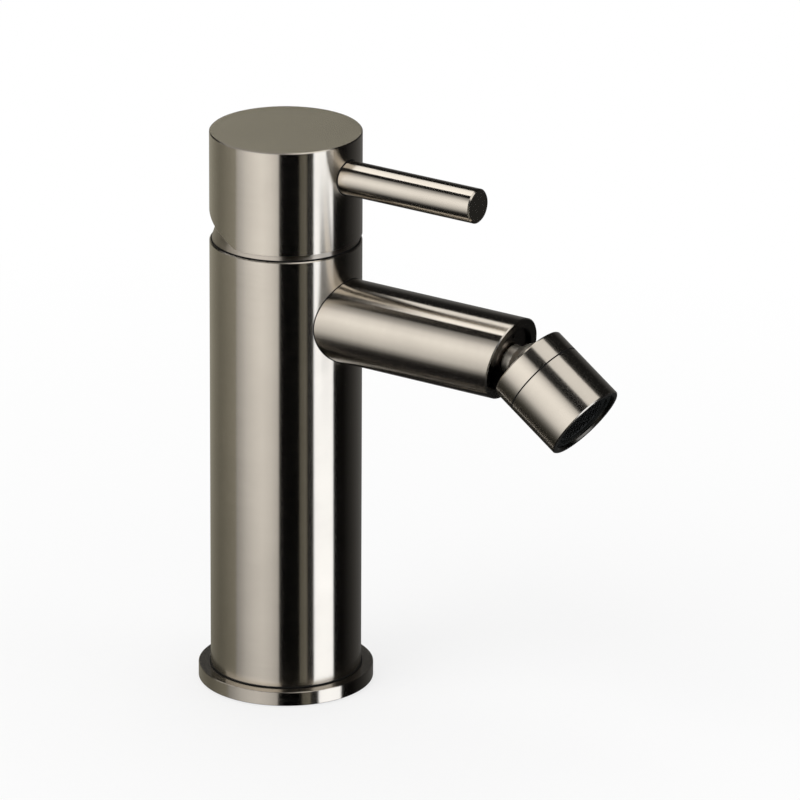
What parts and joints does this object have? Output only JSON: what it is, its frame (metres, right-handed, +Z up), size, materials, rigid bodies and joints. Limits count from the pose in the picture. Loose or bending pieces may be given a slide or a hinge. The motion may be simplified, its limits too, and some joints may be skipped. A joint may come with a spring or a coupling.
{
  "type": "bidet mixer tap",
  "caption": "Single-lever bidet mixer: round column, lever head that lifts and turns, straight spout and a ball-jointed aerator outlet.",
  "frame": {"origin": "centre of the base ring's underside, on the column's axis", "axes": "+Z up along the column, -Y along the spout and the lever, +X to the right of someone who faces the spout"},
  "size_m": [0.0506, 0.1344, 0.1655],
  "materials": {
    "brushed_body": "brushed nickel",
    "dark_trim": "satin, dark",
    "polished_stud": "polished",
    "brass": "machined",
    "steel": "ground",
    "grey_plastic": "moulded",
    "white_plastic": "moulded",
    "black_plastic": "moulded",
    "ceramic": "lapped",
    "rubber": "moulded"
  },
  "bodies": {
    "fixed_body": {"base_ring": "brushed_body", "base_gasket": "rubber", "ring_seal": "rubber", "body_shell": "brushed_body", "valve_core": "brass", "core_dowel": "steel", "core_seals": "rubber", "cartridge_base": "grey_plastic", "inlet_seals": "rubber", "disc_seals": "rubber", "fixed_disc": "ceramic", "cartridge_housing": "grey_plastic", "cartridge_seal": "rubber", "cartridge_nut": "brass", "dome_ring": "dark_trim", "dome_seal": "rubber", "spout_tube": "brushed_body", "spout_bush": "brass", "spout_bolt": "brass", "spout_seal": "rubber", "stud_washer": "white_plastic", "gland_nut": "dark_trim", "stud_seal": "rubber"},
    "mixing_rotor": {"cartridge_rotor": "grey_plastic", "rotor_seal": "rubber", "spindle_pin": "steel"},
    "handle": {"spindle": "brass", "handle_head": "brushed_body", "lever_rod": "brushed_body", "grub_screw": "steel"},
    "sliding_disc": {"disc_carrier": "grey_plastic", "moving_disc": "ceramic"},
    "swivel_stud": {"ball_stud": "polished_stud"},
    "tilting_seat": {"ball_seat": "white_plastic", "seat_seal": "rubber"},
    "outlet_head": {"swivel_collar": "brushed_body", "swivel_housing": "brushed_body", "aerator_gasket": "rubber", "aerator_case": "black_plastic", "flow_limiter": "white_plastic", "aerator_screen": "black_plastic"}
  },
  "joints": [
    {"name": "temperature_turn", "type": "hinge", "parent": "fixed_body", "child": "mixing_rotor", "pos_m": [0, 0, 0.12796], "axis": [0, 0, 1], "range_deg": [-50, 50]},
    {"name": "flow_lift", "type": "hinge", "parent": "mixing_rotor", "child": "handle", "pos_m": [0, 0, 0.12796], "axis": [-1, 0, 0], "range_deg": [0, 25]},
    {"name": "disc_slide", "type": "slide", "parent": "mixing_rotor", "child": "sliding_disc", "axis": [0, -1, 0], "range_m": [0, 0.00423]},
    {"name": "swivel_turn", "type": "hinge", "parent": "fixed_body", "child": "swivel_stud", "pos_m": [0, -0.08551, 0.11068], "axis": [0, -0.9711, -0.2385], "continuous": true},
    {"name": "swivel_tilt", "type": "hinge", "parent": "swivel_stud", "child": "tilting_seat", "pos_m": [0, -0.08551, 0.11068], "axis": [-1, 0, 0], "range_deg": [0, 43]},
    {"name": "outlet_spin", "type": "hinge", "parent": "tilting_seat", "child": "outlet_head", "pos_m": [0, -0.08551, 0.11068], "axis": [0, -0.8161, -0.5779], "continuous": true}
  ],
  "couplings": [
    {"joint": "disc_slide", "follows": "flow_lift", "m_per_rad": 0.009685}
  ]
}
